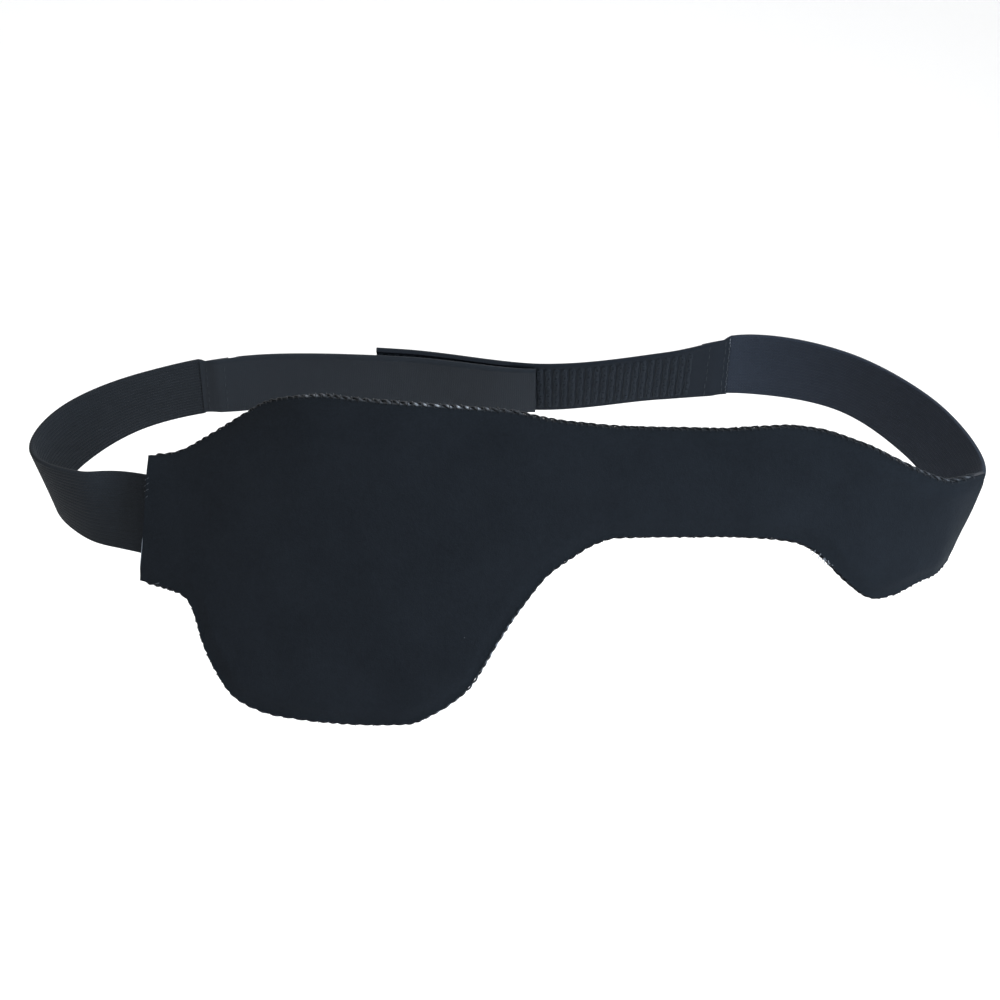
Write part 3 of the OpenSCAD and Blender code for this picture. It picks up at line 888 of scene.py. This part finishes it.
# the tack stitches are pale, and those near the top carry a painted highlight
tackPaleAndHighlight = 0.10 + 0.35 * smooth((np.arange(len(tackPath)) / (len(tackPath) - 1) - 0.82) / 0.18)
sewPiece("hookSeam", [(*stitchPaths([hookTapeStart - 1.6, hookTapeStart - 6.4], hookFlat), 0.0),
                      (tackPath, tackUp, tackPaleAndHighlight[:, None])], "right_strap", ["hook_seam_thread"])


def strayThreads():
    # whip stitches over the left cut end, and the frayed tuft in the notch of the tail
    x = np.linspace(-1, 1, 9)
    v = np.array([9.4, 8.0, 6.6, 4.9, -16.2, -15.6])[:, None]
    s = np.array([-0.4, -0.4, -0.5, -0.6, -4.8, -6.6])[:, None]
    run = np.array([0.6, 0.7, 0.7, 0.5, 0.9, 0.8])[:, None]
    fall = np.array([0.5, 0.6, 0.5, 0.5, 0.2, 0.3])[:, None]
    s2, v2 = s + 0.3 - run * x, v + fall * x
    high = faceOut + 0.22 * (1 - x**2) - 0.35 * smooth((s2 + 0.8) / 0.8)
    whip = onLoop(endSlant(s2, v2), v2, high)
    groups = [(whip, loopFrame(s2)[3], np.array([0.10, 0.07, 0.12, 0.05, 0.12, 0.14])[:, None])]
    v3 = np.linspace(-13.4, -5.2, 9)[None]
    line = onLoop(endSlant(-0.1 + 0 * v3, v3), v3, faceOut + 0.02 + 0 * v3)
    groups.append((line, loopFrame(0 * v3)[3], np.full((1, 1), 0.38)))
    count = 11
    x = np.linspace(0, 1, 9)[None]
    at = -171.5 + rng.uniform(-2.6, 2.6, (count, 1))
    swing = rng.uniform(-1.2, 1.2, (count, 1))
    reach = rng.uniform(0.6, 1.5, (count, 1))
    s4 = at + swing * x**1.5
    v4 = cutBottom(at.ravel())[:, None] + 0.1 - reach * x + 0.3 * np.sin(5 * x + 9 * swing)
    fray = onLoop(s4, v4, (liningIn + faceOut) / 2 + 0.8 + 0.4 * np.sin(7 * x + swing))
    groups.append((fray, loopFrame(s4)[3], rng.uniform(0.25, 0.9, (count, 1))))
    return groups


sewPiece("strayThreads", strayThreads(), "panel", (), 0.10)
print("seams sewn")

# ---- floor, light and camera ----

def makeFloor():
    # a floor that sweeps up into a wall: straight, quarter circle, straight
    low, back, bend = -0.17, 1.6, 0.7
    a = np.linspace(0, np.pi / 2, 24)
    y = np.r_[-8, back + bend * np.sin(a), back + bend]
    z = np.r_[low, low + bend * (1 - np.cos(a)), low + 3]
    x = np.array([-6.0, 6.0])
    points = np.stack(np.broadcast_arrays(x[None], y[:, None], z[:, None]), -1)
    floor = makePiece("floor", points, gridFaces(len(y), 2), None, 180)
    material = bpy.data.materials.new("paleFloor")
    material.use_nodes = True
    shader = material.node_tree.nodes["Principled BSDF"]
    shader.inputs["Base Color"].default_value = (0.92, 0.92, 0.92, 1)
    shader.inputs["Roughness"].default_value = 0.9
    floor.data.materials.append(material)


def addLight(name, place, size, power, target=(0, 0.03, 0), colour=(1, 1, 1)):
    data = bpy.data.lights.new(name, "AREA")
    data.size, data.energy, data.color = size, power, colour
    lamp = bpy.data.objects.new(name, data)
    bpy.context.scene.collection.objects.link(lamp)
    lamp.location = place
    lamp.rotation_euler = (Vector(target) - Vector(place)).to_track_quat("-Z", "Y").to_euler()


makeFloor()
addLight("softTop", (-0.2, -0.3, 1.6), 1.6, 20)
addLight("softFront", (0.7, -1.5, 0.7), 1.4, 5)
addLight("softBack", (0.2, 1.2, 1.2), 1.2, 12)
addLight("coolSide", (0.42, -0.26, 0.14), 0.25, 4.6, (0.1, 0.02, 0), (0.74, 0.86, 1.0))
world = bpy.data.worlds.new("softRoom")
world.use_nodes = True
world.node_tree.nodes["Background"].inputs[0].default_value = (1, 1, 1, 1)
world.node_tree.nodes["Background"].inputs[1].default_value = 0.75
bpy.context.scene.world = world
bpy.context.scene.view_settings.view_transform = "Standard"

shot = {"elevation": 12, "distance": 0.520, "target": (0, 0, 0.0153), "lens": 76.4}
cameraData = bpy.data.cameras.new("camera")
cameraData.lens = shot["lens"]
cameraData.clip_start = 0.01
camera = bpy.data.objects.new("camera", cameraData)
bpy.context.scene.collection.objects.link(camera)
tiltDown = np.radians(shot["elevation"])
target = Vector(shot["target"])
camera.location = target + Vector((0, -np.cos(tiltDown), np.sin(tiltDown))) * shot["distance"]
camera.rotation_euler = (target - camera.location).to_track_quat("-Z", "Y").to_euler()
bpy.context.scene.camera = camera
print("camera and light set")
